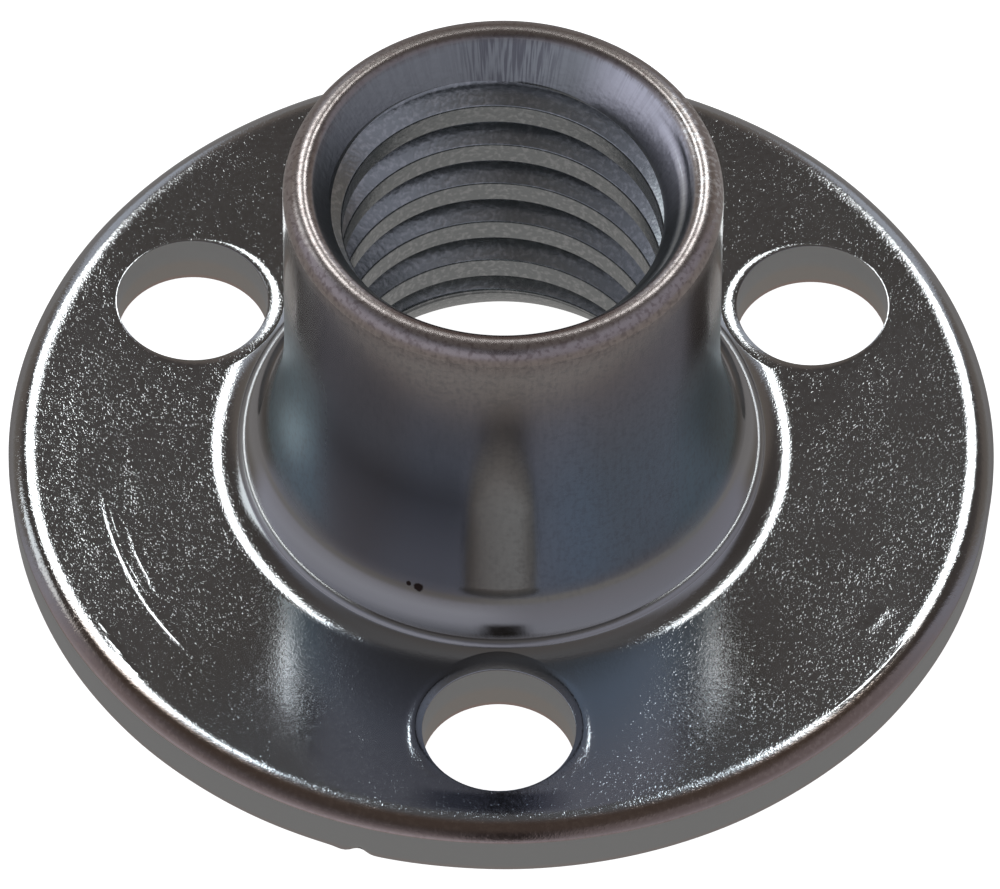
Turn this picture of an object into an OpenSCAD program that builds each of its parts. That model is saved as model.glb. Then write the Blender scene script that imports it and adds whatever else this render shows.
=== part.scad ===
// Screw-on tee nut for a 3/8 inch coarse-thread bolt: a round steel flange with three brad holes and a
// short threaded barrel drawn up out of the same sheet. It is one stamped and drawn piece.
// Millimetres, +Z up the barrel, origin at the centre of the flange's underside.

/* [Flange] */
// diameter of the round flange
flange_d = 25.66; // [22:0.02:32]
// thickness of the flange's sheet
flange_t = 1.55; // [1.2:0.05:2.2]
// how far in from the edge the top face starts to roll over where the blank was cut
edge_roll_w = 0.79; // [0.7:0.01:0.9]
// radius of that roll
edge_roll_r = 2; // [1.7:0.05:2.4]
// how far the roll leans where a tighter rounding takes over from it
edge_tilt = 9; // [7:0.5:12]
// radius of that rounding, which ends in a corner at the sheared wall
edge_round_r = 0.77; // [0.7:0.01:0.9]
// how much smaller the flange's radius is at its underside, where the cut tore
edge_taper = 0.08; // [0.04:0.01:0.12]
// height of the torn part of the sheared wall
tear_h = 1.1; // [0.9:0.05:1.15]
// radius that breaks the corner between the sheared wall and the underside
edge_foot_r = 0.08; // [0.05:0.01:0.1]

/* [Brad holes] */
// number of holes for brads or small screws
hole_count = 3; // [2:1:4]
// diameter of each hole
hole_d = 3.95; // [2:0.05:4.6]
// diameter of the circle that the holes' centres lie on
hole_circle_d = 18.75; // [17.5:0.05:19.5]
// how far out from each hole's wall the top face rolls over
hole_roll_w = 0.2; // [0.15:0.05:0.4]
// how far down each hole's wall that roll reaches
hole_roll_h = 0.03; // [0.02:0.01:0.1]

/* [Thread] */
// major diameter of the thread
thread_d = 9.525; // [8:0.005:11.5]
// distance from one turn of the thread to the next
thread_pitch = 1.5875; // [1.25:0.0005:2]
// part of the full thread's height that is cut, which sets the bore that the thread is cut in
thread_share = 0.62; // [0.5:0.01:0.8]

/* [Barrel] */
// wall of the barrel, from the bore to the outside
barrel_wall = 1.52; // [1.2:0.01:2]
// overall height, from the flange's underside to the barrel's rim
height = 12.3; // [9:0.05:20]
// radius that rounds the rim on its outside
rim_out_r = 0.5; // [0.4:0.05:0.6]
// radius that rounds the rim on its inside
rim_in_r = 0.35; // [0.3:0.01:0.4]
// how far inside the crest of the rim the edge of the countersunk mouth lies
rim_in_w = 0.27; // [0.2:0.01:0.28]
// angle of the countersunk mouth's wall from the axis
mouth_angle = 34; // [30:1:42]

/* [Bends] */
// radius of the bend between the flange's top face and the barrel
bend_r = 1.75; // [1.4:0.05:2]
// radius of the long sweep in which the barrel widens towards that bend
sweep_r = 17; // [14:0.5:30]
// how far above the bend's centre that sweep starts
sweep_h = 2.7; // [1.5:0.1:3]
// radius of the bend between the flange's underside and the bore
flare_r = 3.5; // [2.9:0.05:4.2]
// where on the upper bend the forming die left its raised ring: 0 at the flange, 90 at the barrel
bead_angle = 30; // [20:1:45]
// how far that ring stands out of the bend
bead_h = 0.03; // [0.02:0.01:0.06]
// radius of that ring's rounding
bead_r = 0.2; // [0.15:0.01:0.3]

/* [Hidden] */
$fn = 96;
// height of a 60 degree thread with flat crests and roots, as a part of its pitch
full_thread = 0.6495;
// how far one shape runs into the next, or a cut past the face it opens
lap = 0.2;
// how far an arc stands past the line it leaves, so the two cross instead of only touching
graze = 0.004;
// how far the cut that rounds the inside of the rim reaches past the edge of the mouth
rim_lap = 0.04;

flange_r = flange_d / 2;
hole_r = hole_d / 2;
// the bore is drawn at the thread's minor diameter
bore_r = thread_d / 2 - thread_share * full_thread * thread_pitch;
barrel_r = bore_r + barrel_wall;
// radius of the rim's crest
crest_r = barrel_r - rim_out_r;
// edge of the countersunk mouth, on the rounding inside the rim
mouth_r = crest_r - rim_in_w;
mouth_z = height - rim_in_r + sqrt(rim_in_r ^ 2 - rim_in_w ^ 2);
// height where the barrel starts to widen, and the angle at which that sweep runs into the bend
bend_z = flange_t + bend_r;
sweep_z = bend_z + sweep_h;
sweep_x = barrel_r + sweep_r - graze;
bend_x = sweep_x - sqrt((sweep_r - bend_r + graze) ^ 2 - sweep_h ^ 2);
sweep_angle = atan2(sweep_h, sweep_x - bend_x);
// centre of the roll at the flange's edge, and of the rounding that follows it
roll_x = flange_r - edge_roll_w;
roll_z = flange_t - edge_roll_r;
corner_x = roll_x + (edge_roll_r - edge_round_r) * sin(edge_tilt);
corner_z = roll_z + (edge_roll_r - edge_round_r) * cos(edge_tilt);
// depth that the roll would reach at the wall if nothing took over from it
edge_roll_h = edge_roll_r - sqrt(edge_roll_r ^ 2 - edge_roll_w ^ 2);
// centre of the rounding below, which touches the leaning torn wall
foot_x = flange_r - edge_taper * (1 - edge_foot_r / tear_h) - edge_foot_r + graze;
// distance from the bend's centre to the centre of the raised ring's rounding
bead_reach = bend_r + bead_r - bead_h;

// what a rolled edge takes away: x runs in from the wall at 0, the face is at y = 0, and the cut
// is w wide and h deep; above the face it goes on to y = up, spreading by lean for each step up
module roll_cut(w, h, up, lean) {
    r = (w ^ 2 + h ^ 2) / (2 * h);
    difference() {
        polygon([[-lap, -h], [w, -h], [w, 0], [w + up * lean, up], [-lap, up]]);
        translate([w, graze - r]) circle(r = r);
    }
}

// the space outside the barrel's foot: the bend, and above it the long sweep that runs into it
module foot_space() {
    translate([bend_x, bend_z]) circle(r = bend_r);
    reach = bend_r + lap;
    intersection() {
        translate([sweep_x, sweep_z]) circle(r = sweep_r);
        polygon([
            [bend_x, bend_z],
            [bend_x - reach * cos(sweep_angle), bend_z - reach * sin(sweep_angle)],
            [barrel_r - 2 * lap, bend_z],
            [barrel_r - 2 * lap, sweep_z + lap],
            [bend_x + lap, sweep_z + lap],
            [bend_x + lap, bend_z]
        ]);
    }
}

// the sheet before its edges are worked: flange, barrel, the foot that joins them, and the raised ring
module drawn_sheet() {
    polygon([
        [bore_r, 0], [flange_r - edge_taper, 0], [flange_r, tear_h], [flange_r, flange_t], [bore_r, flange_t]
    ]);
    translate([bore_r, 0]) square([barrel_wall, height]);
    difference() {
        translate([barrel_r - lap, flange_t - lap]) square([bend_x - barrel_r + lap, sweep_z - flange_t + lap]);
        foot_space();
    }
    translate([bend_x - bead_reach * sin(bead_angle), bend_z - bead_reach * cos(bead_angle)])
        circle(r = bead_r);
}

// what is rounded off the flange's wall: outside the roll of its upper edge, and at the corner below
module corner_cut() {
    out = edge_roll_w;
    difference() {
        polygon([
            [corner_x, corner_z],
            [corner_x + 2 * out * sin(edge_tilt), corner_z + 2 * out * cos(edge_tilt)],
            [corner_x + 2 * out, corner_z + 2 * out],
            [corner_x + 2 * out, corner_z]
        ]);
        translate([corner_x + graze, corner_z + graze]) circle(r = edge_round_r);
    }
    difference() {
        translate([foot_x, -lap]) square([edge_foot_r + lap, edge_foot_r + lap]);
        translate([foot_x, edge_foot_r]) circle(r = edge_foot_r);
    }
}

// the wide round entry under the flange
module flare_cut() {
    difference() {
        translate([bore_r - lap, -lap]) square([flare_r + lap, flare_r + lap]);
        translate([bore_r + flare_r, flare_r]) circle(r = flare_r);
    }
}

// what the rounding of the rim takes off the barrel's square end, outside and inside
module rim_cut() {
    difference() {
        translate([crest_r, height - rim_out_r]) square([rim_out_r + lap, rim_out_r + lap]);
        translate([crest_r, height - rim_out_r]) circle(r = rim_out_r);
    }
    difference() {
        translate([bore_r - lap, mouth_z - rim_lap])
            square([crest_r - bore_r + lap, height - mouth_z + rim_lap + lap]);
        translate([crest_r, height - rim_in_r]) circle(r = rim_in_r);
    }
}

// the countersunk mouth, a straight cone from the bore up past the rim
module mouth_cut() {
    low_r = bore_r - lap;
    top_z = height + lap;
    polygon([
        [low_r, mouth_z - (mouth_r - low_r) / tan(mouth_angle)],
        [mouth_r + (top_z - mouth_z) * tan(mouth_angle), top_z],
        [low_r, top_z]
    ]);
}

// half of the nut's section
module nut_section() {
    difference() {
        drawn_sheet();
        flare_cut();
        rim_cut();
        mouth_cut();
        translate([flange_r, flange_t]) mirror([1, 0]) roll_cut(edge_roll_w, edge_roll_h, lap, 0);
        corner_cut();
    }
}

// one brad hole and its rolled edge, which spreads upward where it cuts into the bend
module brad_hole() {
    translate([0, 0, -lap]) cylinder(r = hole_r, h = height);
    rotate_extrude() translate([hole_r, flange_t]) roll_cut(hole_roll_w, hole_roll_h, bend_r / 2, 0.5);
}

module tee_nut() color("silver") {
    difference() {
        rotate_extrude() nut_section();
        for (i = [0 : hole_count - 1])
            rotate([0, 0, i * 360 / hole_count - 90]) translate([hole_circle_d / 2, 0, 0]) brad_hole();
    }
}

tee_nut();
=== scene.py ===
"""A zinc-plated tee nut: a drawn, threaded barrel on a round flange with three brad holes."""
import math

import bpy
import numpy as np
from mathutils import Matrix, Vector


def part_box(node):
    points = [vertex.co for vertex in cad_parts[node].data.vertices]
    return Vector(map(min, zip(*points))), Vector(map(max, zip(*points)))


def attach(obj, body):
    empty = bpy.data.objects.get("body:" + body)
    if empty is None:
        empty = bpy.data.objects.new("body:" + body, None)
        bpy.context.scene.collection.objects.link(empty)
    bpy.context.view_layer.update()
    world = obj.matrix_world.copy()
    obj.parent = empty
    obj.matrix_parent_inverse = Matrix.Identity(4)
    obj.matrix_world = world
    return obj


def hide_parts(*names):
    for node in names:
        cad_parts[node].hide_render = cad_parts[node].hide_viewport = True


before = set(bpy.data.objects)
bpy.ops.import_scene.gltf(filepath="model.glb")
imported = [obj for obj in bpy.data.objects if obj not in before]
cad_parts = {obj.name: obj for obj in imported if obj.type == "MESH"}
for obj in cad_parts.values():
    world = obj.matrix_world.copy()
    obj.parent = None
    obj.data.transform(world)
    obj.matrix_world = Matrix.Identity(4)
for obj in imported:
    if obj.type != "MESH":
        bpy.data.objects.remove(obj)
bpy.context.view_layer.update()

MM = 0.001  # metres in a millimetre; the mesh is worked out in millimetres

# ---------------------------------------------------------------- sizes of the part
low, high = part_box("tee_nut")
FLANGE_R = (high.x - low.x) / 2 / MM
TOP = high.z / MM
FLANGE_T = 1.55
ROLL_W, ROLL_R, ROLL_TILT = 0.79, 2.0, 9   # width, radius and last lean of the flange's rolled upper edge
ROUND_R = 0.77                         # the tighter rounding that follows it out to the sheared wall
TAPER, TEAR_H = 0.08, 1.1              # how far the torn part of that wall leans in, and its height
FOOT_R = 0.08                          # rounding of the corner between the wall and the underside
HOLE_R, HOLE_RING = 1.975, 9.375       # brad holes, and the circle they stand on
HOLE_ANGLES = (30, 150, 270)
HOLE_ROLL_W, HOLE_ROLL_H = 0.2, 0.03
PITCH = 1.5875                         # 16 threads to the inch
CREST_R, ROOT_R = 4.1232, 4.7625
CREST_W, FLANK_W, ROOT_W = 0.651, 0.3695, 0.198
CREST_AT = (96.4, 3.35)                # an angle, and the height of a crest's lower edge there
CREST_Z = CREST_AT[1] - PITCH * CREST_AT[0] / 360   # the same at angle 0
CREST_ROUND, ROOT_ROUND = 0.05, 0.08   # how softly the thread's crests and roots are rounded
BARREL_WALL = 1.52
BARREL_R = CREST_R + BARREL_WALL
RIM_OUT, RIM_IN, RIM_IN_W = 0.5, 0.35, 0.27
MOUTH_TAN = math.tan(math.radians(34))
BEND_R, SWEEP_R, SWEEP_H = 1.75, 17.0, 2.7   # the bend at the barrel's foot and the long sweep above it
FLARE_R = 3.5
BEAD_R, BEAD_H, BEAD_ANGLE = 0.2, 0.03, 30   # the thin raised ring on the bend
BURR = 0.035                           # rounding left on sheared edges

# places that follow from those sizes, as (radius, height)
RIM_C = BARREL_R - RIM_OUT
MOUTH = (RIM_C - RIM_IN_W, TOP - RIM_IN + math.sqrt(RIM_IN**2 - RIM_IN_W**2))
SWEEP_C = (BARREL_R + SWEEP_R, FLANGE_T + BEND_R + SWEEP_H)
BEND_C = (SWEEP_C[0] - math.sqrt((SWEEP_R - BEND_R)**2 - SWEEP_H**2), FLANGE_T + BEND_R)
SWEEP_ANGLE = math.degrees(math.atan2(SWEEP_H, SWEEP_C[0] - BEND_C[0]))
FLARE_C = (CREST_R + FLARE_R, FLARE_R)
BEAD_REACH = BEND_R + BEAD_R - BEAD_H
BEAD_C = (BEND_C[0] - BEAD_REACH * math.sin(math.radians(BEAD_ANGLE)),
          BEND_C[1] - BEAD_REACH * math.cos(math.radians(BEAD_ANGLE)))
BEAD_HALF = math.degrees(math.acos((BEND_R**2 + BEAD_REACH**2 - BEAD_R**2) / (2 * BEND_R * BEAD_REACH)))
HOLE_ROLL_R = (HOLE_ROLL_W**2 + HOLE_ROLL_H**2) / (2 * HOLE_ROLL_H)
RING_IN, RING_OUT = 6.93, 11.9         # the flange between these radii holds the holes
BORE_LOW = 1.35                        # where the threaded wall hands over to the flare
COLUMN = 1.25                          # degrees between the mesh's columns round the axis
HOLE_WINDOW = 18.75                    # half the angle of the window of mesh round a brad hole
STEP = 1e-4                            # small step that slopes are measured over


# ---------------------------------------------------------------- section lines
# Each is an array of rows, which hold radius, height and the two parts of the normal.
def arc(centre, radius, start, end, count, hollow=False):
    """Rows along an arc of the section, angles in degrees from the +radius direction."""
    a = np.radians(np.linspace(start, end, count))
    c, s = np.cos(a), np.sin(a)
    out = -1 if hollow else 1
    return np.stack([centre[0] + radius * c, centre[1] + radius * s, out * c, out * s], 1)


def straight(start, end, normal, count):
    """Rows along a straight line of the section."""
    t = np.linspace(0, 1, count)[:, None]
    line = np.array(start) * (1 - t) + np.array(end) * t
    return np.hstack([line, np.tile(normal, (count, 1))])


def section_angle(point, centre):
    return math.degrees(math.atan2(point[1] - centre[1], point[0] - centre[0]))


def bend_point(angle):
    a = math.radians(angle)
    return BEND_C[0] - BEND_R * math.sin(a), BEND_C[1] - BEND_R * math.cos(a)


def outer_rows():
    """The outside, from the mouth's edge over the rim, down the barrel and round the bend to the flange."""
    bead_start = section_angle(bend_point(BEAD_ANGLE + BEAD_HALF), BEAD_C)
    bead_end = section_angle(bend_point(BEAD_ANGLE - BEAD_HALF), BEAD_C)
    bend_start, bend_end = 270 - BEAD_ANGLE - BEAD_HALF, 270 - BEAD_ANGLE + BEAD_HALF
    last = 270 - math.degrees(math.asin((BEND_C[0] - RING_IN) / BEND_R))
    mouth = section_angle(MOUTH, (RIM_C, TOP - RIM_IN))
    return np.vstack([
        arc((RIM_C, TOP - RIM_IN), RIM_IN, mouth, 90, 7),
        arc((RIM_C, TOP - RIM_OUT), RIM_OUT, 90, 0, 12),
        straight((BARREL_R, TOP - RIM_OUT), (BARREL_R, SWEEP_C[1]), (1, 0), 14),
        arc(SWEEP_C, SWEEP_R, 180, 180 + SWEEP_ANGLE, 9, hollow=True)[1:],
        arc(BEND_C, BEND_R, 180 + SWEEP_ANGLE, bend_start - 0.5, 26, hollow=True)[1:],
        arc(BEND_C, BEND_R, bend_start - 0.5, bend_start, 2, hollow=True)[1:],
        arc(BEAD_C, BEAD_R, bead_start, bead_start - 1.5, 2),
        arc(BEAD_C, BEAD_R, bead_start - 1.5, bead_end + 1.5, 9)[1:],
        arc(BEAD_C, BEAD_R, bead_end + 1.5, bead_end, 2)[1:],
        arc(BEND_C, BEND_R, bend_end, last, 3, hollow=True),
    ])


def edge_rows():
    """The flange's edge, from its flat top over the roll and down the sheared wall to the underside."""
    roll_c = (FLANGE_R - ROLL_W, FLANGE_T - ROLL_R)
    lean = math.radians(ROLL_TILT)
    reach = ROLL_R - ROUND_R
    round_c = (roll_c[0] + reach * math.sin(lean), roll_c[1] + reach * math.cos(lean))
    stop = math.degrees(math.acos((FLANGE_R - 0.5 * BURR - round_c[0]) / ROUND_R))
    wall_top = round_c[1] + math.sqrt(ROUND_R**2 - (FLANGE_R - round_c[0])**2) - 0.5 * BURR
    tear = math.hypot(TAPER, TEAR_H)
    down = (TEAR_H / tear, -TAPER / tear)
    foot_c = (FLANGE_R - TAPER * (1 - FOOT_R / TEAR_H) - FOOT_R * tear / TEAR_H, FOOT_R)
    foot_top = (foot_c[0] + FOOT_R * down[0], FOOT_R + FOOT_R * down[1])
    return np.vstack([
        straight((RING_OUT, FLANGE_T), (roll_c[0], FLANGE_T), (0, 1), 3),
        arc(roll_c, ROLL_R, 90, 90 - ROLL_TILT, 6)[1:],
        arc(round_c, ROUND_R, 90 - ROLL_TILT, stop, 9)[1:],
        [[FLANGE_R - 0.1 * BURR, wall_top + 0.6 * BURR, 0.9, 0.44]],
        straight((FLANGE_R, wall_top), (FLANGE_R, TEAR_H), (1, 0), 2),
        straight((FLANGE_R, TEAR_H), foot_top, down, 7)[1:],
        arc(foot_c, FOOT_R, math.degrees(math.atan2(down[1], down[0])), -90, 6)[1:],
        straight((foot_c[0], 0), (RING_OUT, 0), (0, -1), 4)[1:],
    ])


def flare_rows():
    """The underside's flare, from the flange's flat up to the threaded wall."""
    start = 180 + math.degrees(math.acos((FLARE_C[0] - RING_IN) / FLARE_R))
    end = 180 + math.degrees(math.asin((FLARE_C[1] - BORE_LOW) / FLARE_R))
    return arc(FLARE_C, FLARE_R, start, end, 15)


def hole_rows():
    """A brad hole's section, as distance from its axis: underside, sheared wall and rolled upper edge."""
    roll_end = HOLE_R + HOLE_ROLL_W
    roll_c = (roll_end, FLANGE_T - HOLE_ROLL_R)
    lip = HOLE_R + 0.4 * BURR
    stop = 180 - math.degrees(math.acos((roll_end - lip) / HOLE_ROLL_R))
    wall_top = FLANGE_T - HOLE_ROLL_H - BURR
    return np.vstack([
        straight((roll_end, 0), (HOLE_R + BURR, 0), (0, -1), 3),
        arc((HOLE_R + BURR, BURR), BURR, 270, 180, 4)[1:],
        straight((HOLE_R, BURR), (HOLE_R, wall_top), (-1, 0), 11)[1:],
        [[HOLE_R + 0.08 * BURR, wall_top + 0.8 * BURR, -0.93, 0.37]],
        arc(roll_c, HOLE_ROLL_R, stop, 90, 8),
    ])


# ---------------------------------------------------------------- patches of mesh
def column_angles():
    """Angles of the mesh's columns round the axis, closer together at the nick in the flange's edge."""
    coarse = np.arange(0, 360, COLUMN)
    fine = np.arange(250, 257.5, COLUMN / 3)
    return np.radians(np.unique(np.round(np.concatenate([coarse, fine, [360]]), 6)))


THETA = column_angles()
RING_ROWS = np.concatenate([
    np.linspace(RING_IN, BEND_C[0], 6)[:-1],
    np.linspace(BEND_C[0], 9.45, 8)[:-1],
    np.linspace(9.45, 9.95, 5)[:-1],
    np.linspace(9.95, 10.75, 15)[:-1],
    np.linspace(10.75, RING_OUT, 10),
])


def polar(radius, angle, height):
    """Points from radius, angle and height, which may be grids."""
    radius, angle, height = np.broadcast_arrays(radius, angle, height)
    return np.stack([radius * np.cos(angle), radius * np.sin(angle), height], -1)


def revolve(rows):
    """A grid of points and normals from a section turned round the axis."""
    r, z, nr, nz = (rows[:, i:i + 1] for i in range(4))
    return polar(r, THETA, z), polar(nr, THETA, nz)


def top_height(r):
    """The flange's upper face, which rises into the bend."""
    reach = np.clip(BEND_C[0] - r, 0, None)
    return BEND_C[1] - np.sqrt(BEND_R**2 - reach**2)


def under_height(r):
    """The underside, which rises into the flare."""
    reach = np.clip(FLARE_C[0] - r, 0, None)
    return FLARE_C[1] - np.sqrt(FLARE_R**2 - reach**2)


def face_points(xy, height, side):
    """Points and normals of the flange's top (side 1) or underside (side -1) at places xy."""
    r = np.hypot(xy[..., 0], xy[..., 1])
    slope = (height(r + STEP) - height(r - STEP)) / (2 * STEP)
    z = height(r)
    n = np.stack([-slope * xy[..., 0] / r, -slope * xy[..., 1] / r, np.ones_like(r)], -1) * side
    return np.concatenate([xy, z[..., None]], -1), n


def hole_window(angle):
    """First and last column, of the window of mesh that a hole stands in."""
    middle = math.radians(angle)
    half = math.radians(HOLE_WINDOW)
    return (int(np.argmin(abs(THETA - middle + half))), int(np.argmin(abs(THETA - middle - half))))


def ring_patches(height, side):
    """The flange between the bend and the edge, without the holes' windows."""
    xy = polar(RING_ROWS[:, None], THETA, 0.0)[..., :2]
    windows = sorted(hole_window(a) for a in HOLE_ANGLES)
    cuts = [0] + [c for w in windows for c in w] + [len(THETA) - 1]
    return [face_points(xy[:, a:b + 1], height, side) for a, b in zip(cuts[::2], cuts[1::2])]


def roll_share(spoke, angle):
    """How wide a hole's rolled edge is, as a share of its usual width: widest on the side of the barrel."""
    a = math.radians(angle)
    inward = -(spoke @ np.array([math.cos(a), math.sin(a)]))
    return 0.25 + 2.0 * ((1 + inward) / 2) ** 1.6


def hole_patch(angle):
    """One hole and its window: underside, wall, rolled edge and top as a single grid."""
    first, last = hole_window(angle)
    th, rr = THETA[first:last + 1], RING_ROWS
    loop = np.concatenate([
        polar(rr[0], th, 0.0), polar(rr[1:], th[-1], 0.0),
        polar(rr[-1], th[::-1][1:], 0.0), polar(rr[::-1][1:], th[0], 0.0)])[:, :2]
    centre = polar(HOLE_RING, math.radians(angle), 0.0)[:2]
    spoke = loop - centre
    spoke /= np.linalg.norm(spoke, axis=1, keepdims=True)

    d, z, nd, nz = (hole_rows()[:, i:i + 1, None] for i in range(4))
    share = roll_share(spoke, angle)[:, None]
    rolled = (z > FLANGE_T - HOLE_ROLL_H - 2 * BURR) * (share - 1)
    d = d + rolled * (d - HOLE_R)
    z = z - rolled * (FLANGE_T - z)
    xy = centre + spoke * d
    r = np.hypot(xy[..., :1], xy[..., 1:])
    upper = np.clip((z - 1.2) / 0.15, 0, 1)
    lower = np.clip((0.1 - z) / 0.1, 0, 1)
    z = z + upper * (top_height(r) - FLANGE_T) + lower * under_height(r)
    hole = np.concatenate([xy, z], -1)
    hole_n = np.concatenate([spoke * nd, np.broadcast_to(nz, r.shape)], -1)

    blend = np.array([1, 0.85, 0.7, 0.56, 0.43, 0.33, 0.24, 0.16, 0.08])[:, None, None]
    under, under_n = face_points(xy[0] * (1 - blend) + loop * blend, under_height, -1)
    top, top_n = face_points(xy[-1] * (1 - blend[::-1]) + loop * blend[::-1], top_height, 1)
    return np.concatenate([under, hole, top]), np.concatenate([under_n, hole_n, top_n])


def smooth_max(a, b, k):
    """The larger of two numbers, rounded where they are within k of each other."""
    h = np.clip(k - abs(a - b), 0, None)
    return np.maximum(a, b) + h * h / (4 * k)


BULGE_ANGLE, BULGE_HALF = 0.52, 0.5    # where the mouth's cone bulges most, and how wide, in radians
BULGE_ALL, BULGE_MOST = 0.01, 0.085    # how much it bulges all round, and how much more there


def bore_radius(angle, z):
    """The threaded wall: a right-hand thread cut by the mouth's cone above and the flare below."""
    along = np.mod(z - CREST_Z - PITCH * angle / (2 * math.pi), PITCH)
    off = abs(along - (CREST_W + FLANK_W + ROOT_W / 2)) - ROOT_W / 2
    flank = ROOT_R - off * (ROOT_R - CREST_R) / FLANK_W
    thread = smooth_max(-smooth_max(-flank, -ROOT_R, ROOT_ROUND), CREST_R, CREST_ROUND)
    cone = MOUTH[0] - (MOUTH[1] - z) * MOUTH_TAN
    across = np.clip((MOUTH[1] - z) * MOUTH_TAN / (MOUTH[0] - CREST_R), 0, 1)
    side = np.mod(angle - BULGE_ANGLE + math.pi, 2 * math.pi) - math.pi
    cone = cone - (BULGE_ALL + BULGE_MOST * bump(side, BULGE_HALF)) * 4 * across * (1 - across)
    flare = FLARE_C[0] - np.sqrt(FLARE_R**2 - np.clip(FLARE_C[1] - z, 0, None)**2)
    return smooth_max(smooth_max(thread, cone, CREST_ROUND), flare, CREST_ROUND)


def bore_patch():
    """The inner wall, in rows that follow the thread and stop at the mouth's edge and at the flare."""
    phases = np.array([-0.03, 0.03, 0.22, 0.43, 0.62, 0.68, 0.8, 0.94, 1.03, 1.12, 1.21, 1.3, 1.44])  # mm
    turns = np.arange(-3, math.ceil(TOP / PITCH) + 1)
    start = (CREST_Z + turns[:, None] * PITCH + phases).ravel()
    z = np.clip(start[:, None] + PITCH * THETA / (2 * math.pi), BORE_LOW, MOUTH[1])
    angle = np.broadcast_to(THETA, z.shape)
    r = bore_radius(angle, z)
    by_angle = (bore_radius(angle + STEP, z) - bore_radius(angle - STEP, z)) / (2 * STEP)
    by_z = (bore_radius(angle, z + STEP) - bore_radius(angle, z - STEP)) / (2 * STEP)
    turned = by_angle / r
    c, s = np.cos(angle), np.sin(angle)
    n = np.stack([-c - turned * s, -s + turned * c, by_z], -1)
    return polar(r, angle, z), n


# ---------------------------------------------------------------- dents, scores and ripples
def polar_of(p):
    return np.hypot(p[:, 0], p[:, 1]), np.degrees(np.arctan2(p[:, 1], p[:, 0])) % 360, p[:, 2]


def bump(x, width):
    return np.exp(-(x / width) ** 2)


def fade(x, start, end, soft):
    """1 between start and end, falling off over soft on both sides."""
    return np.clip((x - start) / soft, 0, 1) * np.clip((end - x) / soft, 0, 1)


rng = np.random.default_rng(7)
WAVES = [(v / np.linalg.norm(v) * 2 * math.pi / rng.uniform(2.5, 8.0), rng.uniform(0, 6.3))
         for v in rng.normal(size=(16, 3))]
SCORES = (  # start and end radius, start and end angle, width, height
    (10.49, 10.63, 188, 223, 0.055, 0.0085),
    (10.36, 10.50, 190, 219, 0.05, 0.0065),
    (10.08, 10.20, 196, 211, 0.05, 0.006),
    (11.90, 12.12, 209, 221, 0.05, 0.006),
    (11.18, 11.35, 326.4, 332.8, 0.17, 0.009),
    (12.19, 12.27, 313, 330, 0.06, 0.007),
)
RIPPLE_H = 0.0012                      # height of each of the WAVES
LIP_H, LIP_OUT, LIP_W = 0.024, 0.24, 0.13   # raised lip beside the front hole, LIP_OUT from its wall
NICK_ANGLE, NICK_DEPTH = 253.7, 0.13   # the nick in the flange's lower edge, and the burr beside it
BURR_ANGLE, BURR_H = 251.7, 0.03


def relief(p):
    """Height of small dents and ripples above the drawn surface, in millimetres."""
    r, angle, z = polar_of(p)
    out = sum(RIPPLE_H * np.sin(p @ k + phase) for k, phase in WAVES)
    on_top = fade(z, 1.4, 1.9, 0.05)
    for r0, r1, a0, a1, width, height in SCORES:
        along = (angle - a0) / (a1 - a0)
        line = r0 + (r1 - r0) * along
        out += height * on_top * bump(r - line, width) * fade(along, 0, 1, 0.2)
    aside, ahead = p[:, 0], p[:, 1] + HOLE_RING
    reach = np.hypot(aside, ahead)
    sides = (aside / np.maximum(reach, 1.0)) ** 2 * fade(ahead, -1.6, 2.4, 0.8)
    out += LIP_H * on_top * sides * bump(reach - HOLE_R - LIP_OUT, LIP_W)
    nick = bump(angle - NICK_ANGLE, 1.0) * bump(z, 0.28) * fade(r, 12.3, 13, 0.2)
    burr = bump(angle - BURR_ANGLE, 1.0) * bump(z, 0.15) * fade(r, 12.3, 13, 0.2)
    return out - NICK_DEPTH * nick + BURR_H * burr


def slope_of(field, p, step=0.01):
    """Gradient of a height field at the points."""
    return np.stack([(field(p + d) - field(p - d)) / (2 * step) for d in np.eye(3) * step], -1)


def unit(v):
    return v / np.linalg.norm(v, axis=-1, keepdims=True)


# ---------------------------------------------------------------- colour, gloss and grain by zone
def smooth(value, start, end):
    """Smoothly from 0 at start to 1 at end."""
    t = np.clip((value - start) / (end - start), 0, 1)
    return t * t * (3 - 2 * t)


def band(value, start, end, soft):
    """1 between start and end, falling off smoothly over soft on both sides."""
    return smooth(value, start - soft, start + soft) * smooth(value, end + soft, end - soft)


def laid(tint, layers):
    """A tint with layers of (share, colour) laid over it."""
    for share, colour in layers:
        tint = tint + share[:, None] * (np.array(colour) - tint)
    return tint


PLATE = (0.445, 0.44, 0.44)            # colour of the plating where nothing lies over it


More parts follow.
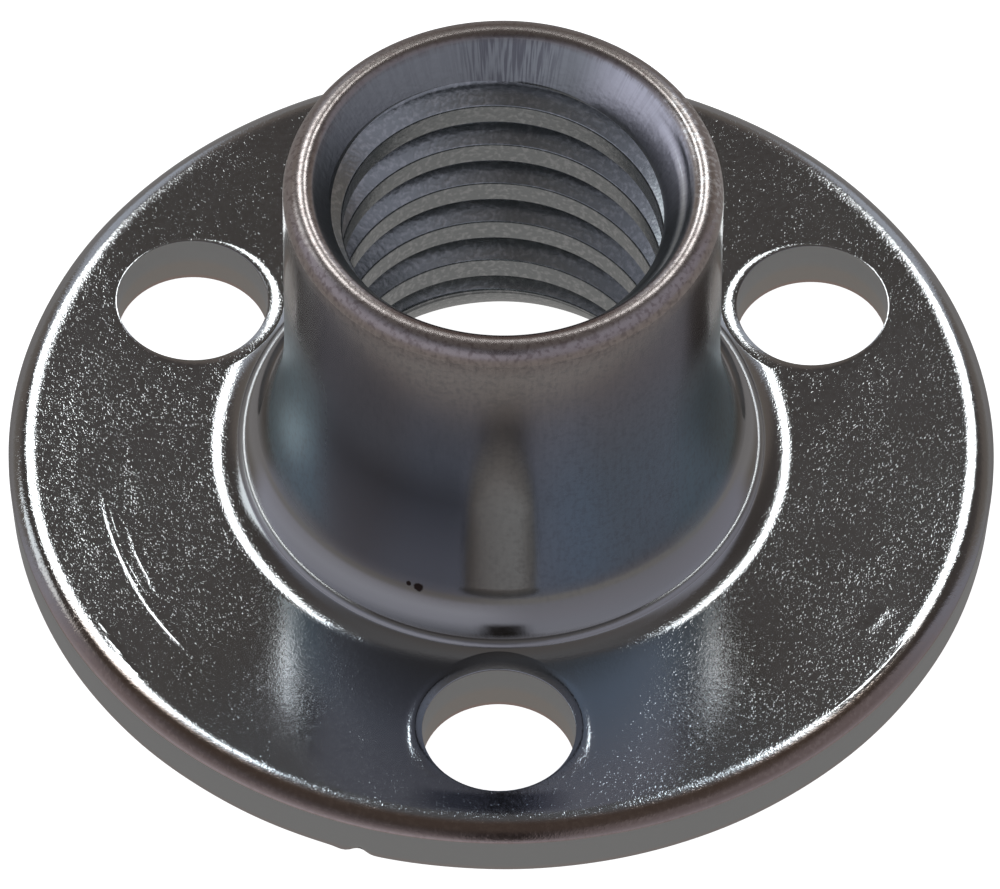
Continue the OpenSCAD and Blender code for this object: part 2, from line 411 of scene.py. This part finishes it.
def paint(points, normals):
    """Per point: tint and roughness, tint of the spots and how far they are drawn out, and grain. The tints
    also carry painted highlights, painted shade and painted reflections.
    """
    x, y, z = points.T
    radius = np.hypot(x, y)
    upright, level = normals[:, 2], abs(normals[:, 2])

    def toward(direction, half, soft):
        """1 within half a width of a direction round the axis, in degrees."""
        a = math.radians(direction)
        cosine = (x * math.cos(a) + y * math.sin(a)) / radius
        outside, inside = (math.cos(math.radians(h)) for h in (half + soft, half - soft))
        return smooth(cosine, outside, inside)

    flange = smooth(radius, 6.9, 7.2) * smooth(z, 1.0, 1.3) * smooth(upright, 0.3, 0.8)
    wall = smooth(level, 0.3, 0.1) * smooth(z, 1.6, 1.5) * smooth(radius, 6.9, 7.1)
    lip = smooth(radius, 12.22, 12.4) * smooth(z, 0.9, 1.1) * (1 - wall)
    barrel = band(radius, 5.4, 6.3, 0.1) * smooth(level, 0.6, 0.3) * smooth(z, 1.8, 2.2)
    foot = band(radius, 5.95, 6.6, 0.08) * smooth(z, 3.4, 3.0) * toward(265, 60, 20)
    ring = band(radius, 6.62, 6.88, 0.04) * smooth(z, 2.1, 1.9)
    crown = smooth(z, 11.45, 12.1) * smooth(radius, 4.83, 4.9)
    bore = smooth(radius, 4.95, 4.88) * smooth(z, 12.25, 12.15)
    mouth = bore * smooth(z, 10.9, 11.2)
    limb = barrel * smooth(abs(x), 4.0, 5.0) * smooth(z, 9.5, 7.5)
    # the lip at the front: brown partly from its own stain and partly as a painted reflection
    front_lip_stain_and_reflection = lip * toward(268, 62, 14)

    tint = laid(np.tile(PLATE, (len(points), 1)), (
        (barrel * 0.55, (0.38, 0.41, 0.43)),
        # painted reflection: the right side of the barrel painted teal below the top
        (barrel * smooth(x, 0.6, 2.4) * smooth(z, 10.5, 8.5) * 0.8, (0.36, 0.45, 0.50)),
        # painted reflection: both outer sides of the barrel, as seen from the front, painted teal
        (limb * 0.9, (0.34, 0.47, 0.52)),
        # painted reflection: the front of the flange painted paler and bluer
        (flange * toward(268, 34, 12) * 0.7, (0.50, 0.55, 0.61)),
        # painted dark reflection: a dark patch on the flange in front of the front hole, near the edge
        (flange * toward(269, 7.5, 4) * band(radius, 11.45, 12.02, 0.1), (0.19, 0.21, 0.26)),
        # painted shade: the front of the bend at the barrel's foot painted a little darker
        (foot, (0.39, 0.385, 0.375)),
        # painted dark reflection: a dark patch low on the front left of the barrel
        (barrel * toward(243, 20, 14) * smooth(z, 8.0, 6.0) * 0.8, (0.22, 0.20, 0.195)),
        # painted reflection: the barrel painted lighter and warmer towards the top
        (barrel * smooth(z, 5.5, 10.0) * 0.6, (0.52, 0.45, 0.42)),
        (wall * 0.9, (0.50, 0.51, 0.51)),
        (wall * smooth(z, 0.80, 0.70) * smooth(radius, 11.6, 11.4), (0.53, 0.50, 0.47)),
        (wall * smooth(z, 0.10, 0.04), (0.62, 0.46, 0.41)),
        # painted reflection over the plate's own brown stain: the front of the lip painted brown
        (front_lip_stain_and_reflection * 0.95, (0.30, 0.22, 0.18)),
        # painted highlight: a pale beige line along the outer corner of the front lip
        (front_lip_stain_and_reflection * smooth(radius, 12.74, 12.8), (0.56, 0.46, 0.41)),
        (crown * 0.65, (0.50, 0.41, 0.38)),
        # painted shade: the far side of the crown painted darker
        (crown * toward(90, 62, 20) * 0.75, (0.31, 0.27, 0.25)),
        # darker brown on the front of the crown's inner rounding
        (crown * toward(270, 36, 14) * smooth(radius, 5.16, 5.04) * 0.85, (0.17, 0.11, 0.095)),
        (bore * 0.7, (0.38, 0.41, 0.42)),
        # painted highlight: a bright patch on the right of the mouth's cone
        (mouth * toward(28, 26, 14), (0.88, 0.88, 0.94)),
    ))
    spots = laid(tint, (
        (barrel * 0.4, (0.26, 0.26, 0.27)),
        # the front lip's brown in the spots too, partly stain and partly painted reflection
        (front_lip_stain_and_reflection * 0.4, (0.42, 0.33, 0.28)),
        (crown * 0.7, (0.26, 0.21, 0.20)),
        # painted highlight: pale mottled spots on the right of the crown
        (crown * toward(12, 20, 12) * 0.9, (0.85, 0.82, 0.82)),
        (bore * (1 - mouth) * 0.8, (0.58, 0.59, 0.60)),
        (mouth * (0.12 + 0.65 * toward(88, 12, 8)), (0.18, 0.18, 0.20)),
    ))
    rough = (0.11 + 0.35 * wall + 0.08 * front_lip_stain_and_reflection + 0.16 * crown + 0.14 * bore + 0.08 * mouth
             + 0.2 * ring + 0.06 * barrel + 0.2 * limb)
    drawn_out = np.clip(mouth + 0.3 * barrel, 0, 1)
    drift = sum(np.sin(points @ k * 2.2 + phase) for k, phase in WAVES) / 6
    rows = (band(radius, 11.1, 11.5, 0.1) * toward(187, 15, 6)
            + band(radius, 9.6, 9.85, 0.12) * toward(187, 7, 4))
    grain = flange * (0.94 + 0.24 * np.clip(drift, -1, 1) + 0.5 * rows
                      + 0.2 * toward(185, 25, 15) - 0.3 * toward(240, 16, 12))
    rubbed = 0.5 * barrel + 3.0 * mouth
    pebbled = 0.6 + 2.8 * (crown + ring) + 5.0 * bore
    return {
        "tint": np.column_stack([tint, rough]),
        "spots": np.column_stack([spots, drawn_out]),
        "grain": np.column_stack([grain, rubbed, pebbled, np.ones(len(points))]),
    }


# ---------------------------------------------------------------- the nut's mesh
def weld(patches):
    """One closed shell from grids that share their borders: points, normals and faces."""
    points, normals, faces, base = [], [], [], 0
    for p, n in patches:
        rows, cols = p.shape[:2]
        i = base + np.arange(rows * cols).reshape(rows, cols)
        faces.append(np.stack([i[:-1, :-1], i[:-1, 1:], i[1:, 1:], i[1:, :-1]], -1).reshape(-1, 4))
        points.append(p.reshape(-1, 3))
        normals.append(unit(n).reshape(-1, 3))
        base += rows * cols
    points, normals, faces = map(np.concatenate, (points, normals, faces))
    _, first, same = np.unique(np.round(points * 1e4).astype(np.int64), axis=0,
                               return_index=True, return_inverse=True)
    same = same.ravel()
    total = np.zeros((len(first), 3))
    np.add.at(total, same, normals)
    return points[first], unit(total), same[faces]


def clean_faces(quads):
    """Quads and triangles as tuples, without the ones that a weld has closed up."""
    out = []
    for q in quads.tolist():
        f = [v for i, v in enumerate(q) if v != q[i - 1]]
        if len(set(f)) == len(f) and len(f) > 2:
            out.append(tuple(f))
    return out


def facing_out(points, normals, faces):
    """The faces, each wound so that it looks away from the metal."""
    out = []
    for f in faces:
        a, b, c = points[f[0]], points[f[1]], points[f[2]]
        d = points[f[-1]]
        turn = np.cross(b - a, c - a) + (np.cross(c - a, d - a) if len(f) == 4 else 0)
        out.append(f if turn @ normals[list(f)].sum(0) > 0 else f[::-1])
    return out


def nut_mesh():
    patches = [revolve(outer_rows()), revolve(edge_rows()), revolve(flare_rows()), bore_patch()]
    patches += ring_patches(top_height, 1) + ring_patches(under_height, -1)
    patches += [hole_patch(a) for a in HOLE_ANGLES]
    points, normals, quads = weld(patches)
    faces = facing_out(points, normals, clean_faces(quads))
    painted = paint(points, normals)
    rise = slope_of(relief, points)
    rise -= normals * (rise * normals).sum(1, keepdims=True)
    points = points + normals * relief(points)[:, None]
    normals = unit(normals - rise)

    mesh = bpy.data.meshes.new("tee_nut_metal")
    mesh.from_pydata((points * MM).tolist(), [], faces)
    mesh.shade_smooth()
    mesh.normals_split_custom_set_from_vertices(normals.tolist())
    for name, values in painted.items():
        layer = mesh.attributes.new(name, "FLOAT_COLOR", "POINT")
        layer.data.foreach_set("color", values.astype(np.float32).ravel())
    return mesh


# ---------------------------------------------------------------- materials
class Tree:
    """A node tree, with short calls for the nodes used here."""

    def __init__(self, block, shader):
        block.use_nodes = True
        self.tree = block.node_tree
        self.shader = self.tree.nodes[shader]

    def put(self, socket, value):
        if isinstance(value, bpy.types.NodeSocket):
            self.tree.links.new(value, socket)
        elif value is not None:
            socket.default_value = value

    def node(self, kind, inputs=(), **settings):
        made = self.tree.nodes.new("ShaderNode" + kind)
        for key, value in settings.items():
            setattr(made, key, value)
        for key, value in dict(inputs).items():
            self.put(made.inputs[key], value)
        return made

    def math(self, operation, a, b=None, c=None):
        return self.node("Math", {0: a, 1: b, 2: c}, operation=operation).outputs[0]

    def times(self, *values):
        out = values[0]
        for value in values[1:]:
            out = self.math("MULTIPLY", out, value)
        return out

    def ramp(self, value, start, end, low=0.0, high=1.0):
        """Smoothly from low at start to high at end."""
        return self.node("MapRange", {"Value": value, "From Min": start, "From Max": end,
                                      "To Min": low, "To Max": high},
                         interpolation_type="SMOOTHSTEP").outputs["Result"]

    def band(self, value, start, end, soft):
        """1 between start and end, falling off over soft on both sides."""
        return self.times(self.ramp(value, start - soft, start + soft),
                          self.ramp(value, end + soft, end - soft))

    def noise(self, where, scale, detail, roughness=0.5):
        return self.node("TexNoise", {"Vector": where, "Scale": scale, "Detail": detail,
                                      "Roughness": roughness}).outputs[0]

    def mix(self, factor, a, b):
        made = self.node("Mix", data_type="RGBA")
        for socket, value in zip((made.inputs[0], made.inputs[6], made.inputs[7]), (factor, a, b)):
            self.put(socket, value)
        return made.outputs[2]


PIT_COLOUR = (0.05, 0.035, 0.03, 1)
PITS = ((249.4, 2.66, 0.14), (246.8, 2.68, 0.08))  # direction, height and radius, at the barrel's foot


def zinc_plate():
    """Bright zinc plate on drawn steel: finely grained, brown along the front of its edge from its own
    stain and a painted reflection, dull where sheared.
    """
    material = bpy.data.materials.new("zinc_plated_steel")
    t = Tree(material, "Principled BSDF")
    where = t.node("TexCoord").outputs["Object"]
    mm = t.node("Mapping", {"Vector": where, "Scale": (1 / MM, 1 / MM, 1 / MM)}).outputs[0]
    x, y, z = t.node("SeparateXYZ", {0: mm}).outputs
    angle = t.math("ARCTAN2", y, x)
    tint, spots, grain = (t.node("Attribute", attribute_name=n).outputs for n in ("tint", "spots", "grain"))

    mottle = t.noise(mm, 7.0, 1.0, 0.6)
    drawn = t.node("CombineXYZ", {0: t.times(angle, 60.0), 1: z}).outputs[0]
    brushed = t.noise(drawn, 1.05, 1.0, 0.6)
    blotch = t.ramp(mottle, 0.45, 0.70)
    streak = t.ramp(brushed, 0.42, 0.62)
    share = t.node("Mix", {0: spots["Alpha"], 2: blotch, 3: streak}, data_type="FLOAT").outputs[0]
    base = t.mix(share, tint["Color"], spots["Color"])

    pits = 0.0
    for direction, height, size in PITS:
        a = math.radians(direction)
        place = (math.cos(a) * 6.0, math.sin(a) * 6.0, height)
        gap = t.node("VectorMath", {0: mm, 1: place}, operation="DISTANCE").outputs["Value"]
        edge = t.math("MULTIPLY_ADD", mottle, size * 0.8, gap)
        pits = t.math("ADD", t.ramp(edge, size * 1.45, size * 1.05), pits)
    t.put(t.shader.inputs["Base Color"], t.mix(pits, base, PIT_COLOUR))
    t.shader.inputs["Metallic"].default_value = 1.0
    rough = t.math("MULTIPLY_ADD", t.math("SUBTRACT", mottle, 0.5), 0.06, tint["Alpha"])
    t.put(t.shader.inputs["Roughness"], t.math("MULTIPLY_ADD", pits, 0.4, rough))

    # heights in thousandths of a millimetre: small nodules on the flange, a faint ripple elsewhere
    speckle, rubbed, pebbled = t.node("SeparateXYZ", {0: grain["Color"]}).outputs
    nodules = t.ramp(t.noise(mm, 21.0, 0.0), 0.46, 0.82)
    fine = t.math("MULTIPLY_ADD", nodules, 1.35, t.times(t.noise(mm, 33.0, 0.0), 0.9))
    patchy = t.ramp(mottle, 0.3, 0.65, 0.45, 1.0)
    height = t.math("MULTIPLY_ADD", brushed, rubbed, t.times(mottle, pebbled))
    height = t.math("MULTIPLY_ADD", fine, t.times(patchy, speckle), height)
    bump = t.node("Bump", {"Strength": 1.0, "Distance": 1e-6, "Height": height})
    t.put(t.shader.inputs["Normal"], bump.outputs[0])
    return material


def pale_floor():
    """A plain white floor that gives light of its own, so that it stays white and takes no shadow."""
    material = bpy.data.materials.new("white_sweep")
    t = Tree(material, "Principled BSDF")
    t.shader.inputs["Base Color"].default_value = (0.8, 0.8, 0.8, 1)
    t.shader.inputs["Roughness"].default_value = 1.0
    t.shader.inputs["Emission Color"].default_value = (1, 1, 1, 1)
    t.shader.inputs["Emission Strength"].default_value = 1.0
    return material


# ---------------------------------------------------------------- pieces
def add(name, data):
    made = bpy.data.objects.new(name, data)
    bpy.context.scene.collection.objects.link(made)
    return made


nut = add("tee_nut_plated", nut_mesh())
nut.data.materials.append(zinc_plate())
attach(nut, "root")
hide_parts("tee_nut")

FLOOR, BELOW = 0.6, -0.00002           # half the floor's width, and its height, just under z = 0
floor_mesh = bpy.data.meshes.new("floor")
floor_mesh.from_pydata([(-FLOOR, -FLOOR, BELOW), (FLOOR, -FLOOR, BELOW),
                        (FLOOR, FLOOR, BELOW), (-FLOOR, FLOOR, BELOW)], [], [(0, 1, 2, 3)])
floor = add("floor", floor_mesh)
floor.data.materials.append(pale_floor())
floor.visible_glossy = False


# ---------------------------------------------------------------- camera and light
FOCAL, SENSOR = 18473, 36.0            # focal length in thousandths of the frame's width
ELEVATION, DISTANCE, ROLL = math.radians(51.84), 0.482, math.radians(0.46)
OFF_X, OFF_Y = 1.0 / FOCAL, -35.0 / FOCAL


def set_camera():
    """The camera at the photograph's angle, turned a little about its own axis."""
    view = Vector((0, math.cos(ELEVATION), -math.sin(ELEVATION)))
    side = Vector((1, 0, 0))
    rise = Vector((0, math.sin(ELEVATION), math.cos(ELEVATION)))
    right = side * math.cos(ROLL) + rise * math.sin(ROLL)
    up = rise * math.cos(ROLL) - side * math.sin(ROLL)
    camera = add("camera", bpy.data.cameras.new("camera"))
    camera.data.lens = FOCAL * SENSOR / 1000
    camera.data.sensor_width = SENSOR
    camera.location = -DISTANCE * (view + right * OFF_X + up * OFF_Y)
    camera.rotation_euler = Matrix((right, up, -view)).transposed().to_euler()
    bpy.context.scene.camera = camera


def softbox(name, azimuth, elevation, distance, width, height, level, colour):
    """A rectangular lamp of the given radiance, aimed at the nut."""
    a, e = math.radians(azimuth), math.radians(elevation)
    lamp = bpy.data.lights.new(name, "AREA")
    lamp.shape, lamp.size, lamp.size_y = "RECTANGLE", width, height
    lamp.energy, lamp.color = level * math.pi * width * height, colour
    place = distance * Vector((math.cos(a) * math.cos(e), math.sin(a) * math.cos(e), math.sin(e)))
    thing = add(name, lamp)
    thing.location = place
    thing.rotation_euler = (-place).to_track_quat("-Z", "Y").to_euler()


def colour_ramp(t, value, stops):
    """A colour that follows value through the stops, each a position and a colour."""
    made = t.node("ValToRGB", {0: value})
    marks = made.color_ramp.elements
    for i, (place, colour) in enumerate(stops):
        mark = marks[i] if i < 2 else marks.new(place)
        mark.position, mark.color = place, (*colour, 1)
    return made.outputs[0]


# radiance of the room by height of direction: 0 straight down, 0.5 level, 1 straight up
# ENDS are the stops straight down, straight up and just below level, which all three share
ENDS = ((0.0, (0.33, 0.32, 0.31)), (1.0, (0.14, 0.13, 0.125)), (0.49, (0.30, 0.29, 0.29)))
BEHIND = ENDS + (
    (0.57, (0.33, 0.32, 0.32)), (0.66, (0.22, 0.20, 0.18)), (0.76, (0.19, 0.165, 0.15)),
    (0.82, (0.09, 0.08, 0.075)), (0.90, (0.075, 0.066, 0.062)))
FRONT_LEFT = ENDS + (
    (0.53, (0.40, 0.40, 0.46)), (0.68, (0.47, 0.48, 0.56)), (0.80, (0.42, 0.43, 0.51)),
    (0.86, (0.30, 0.31, 0.37)), (0.90, (0.20, 0.21, 0.25)), (0.96, (0.12, 0.115, 0.115)))
FRONT_RIGHT = ENDS + (
    (0.53, (0.31, 0.31, 0.355)), (0.70, (0.34, 0.34, 0.40)), (0.85, (0.36, 0.37, 0.44)),
    (0.91, (0.35, 0.36, 0.42)), (0.96, (0.15, 0.14, 0.14)))


def studio():
    """The room round the nut: pale in front but for a dark stand, dark behind but for two pale
    patches low at the sides, with two tall lamps and a fainter one at the left."""
    world = bpy.data.worlds.new("studio")
    bpy.context.scene.world = world
    t = Tree(world, "Background")
    x, y, z = t.node("SeparateXYZ", {0: t.node("TexCoord").outputs["Generated"]}).outputs
    flat = t.math("SQRT", t.math("ADD", t.times(x, x), t.times(y, y)))
    facing = t.math("DIVIDE", y, t.math("MAXIMUM", flat, 0.001))
    height = t.math("MULTIPLY_ADD", z, 0.5, 0.5)
    front = t.ramp(facing, 0.5, 0.3)
    rightward = t.ramp(x, -0.25, 0.25)
    pale = t.mix(rightward, colour_ramp(t, height, FRONT_LEFT), colour_ramp(t, height, FRONT_RIGHT))
    side = t.math("DIVIDE", t.math("ABSOLUTE", x), t.math("MAXIMUM", flat, 0.001))
    foot = t.times(t.band(side, 0.26, 0.45, 0.05), t.band(height, 0.58, 0.81, 0.02))
    behind = t.mix(foot, colour_ramp(t, height, BEHIND), (0.60, 0.65, 0.74, 1))
    stand = t.times(front, t.band(x, -0.09, 0.14, 0.05), t.band(height, 0.80, 0.955, 0.03))
    room = t.mix(front, behind, t.mix(stand, pale, (0.02, 0.017, 0.016, 1)))
    t.put(t.shader.inputs["Color"], room)
    softbox("softbox_left", 111.2, 50.5, 0.4, 0.068, 0.163, 5.0, (0.92, 0.98, 1.0))
    softbox("softbox_right", 70, 50.5, 0.4, 0.060, 0.163, 5.0, (0.92, 0.98, 1.0))
    softbox("softbox_side", 150, 38, 0.4, 0.09, 0.12, 1.6, (0.86, 0.95, 1.0))


set_camera()
studio()
bpy.context.scene.view_settings.view_transform = "Standard"
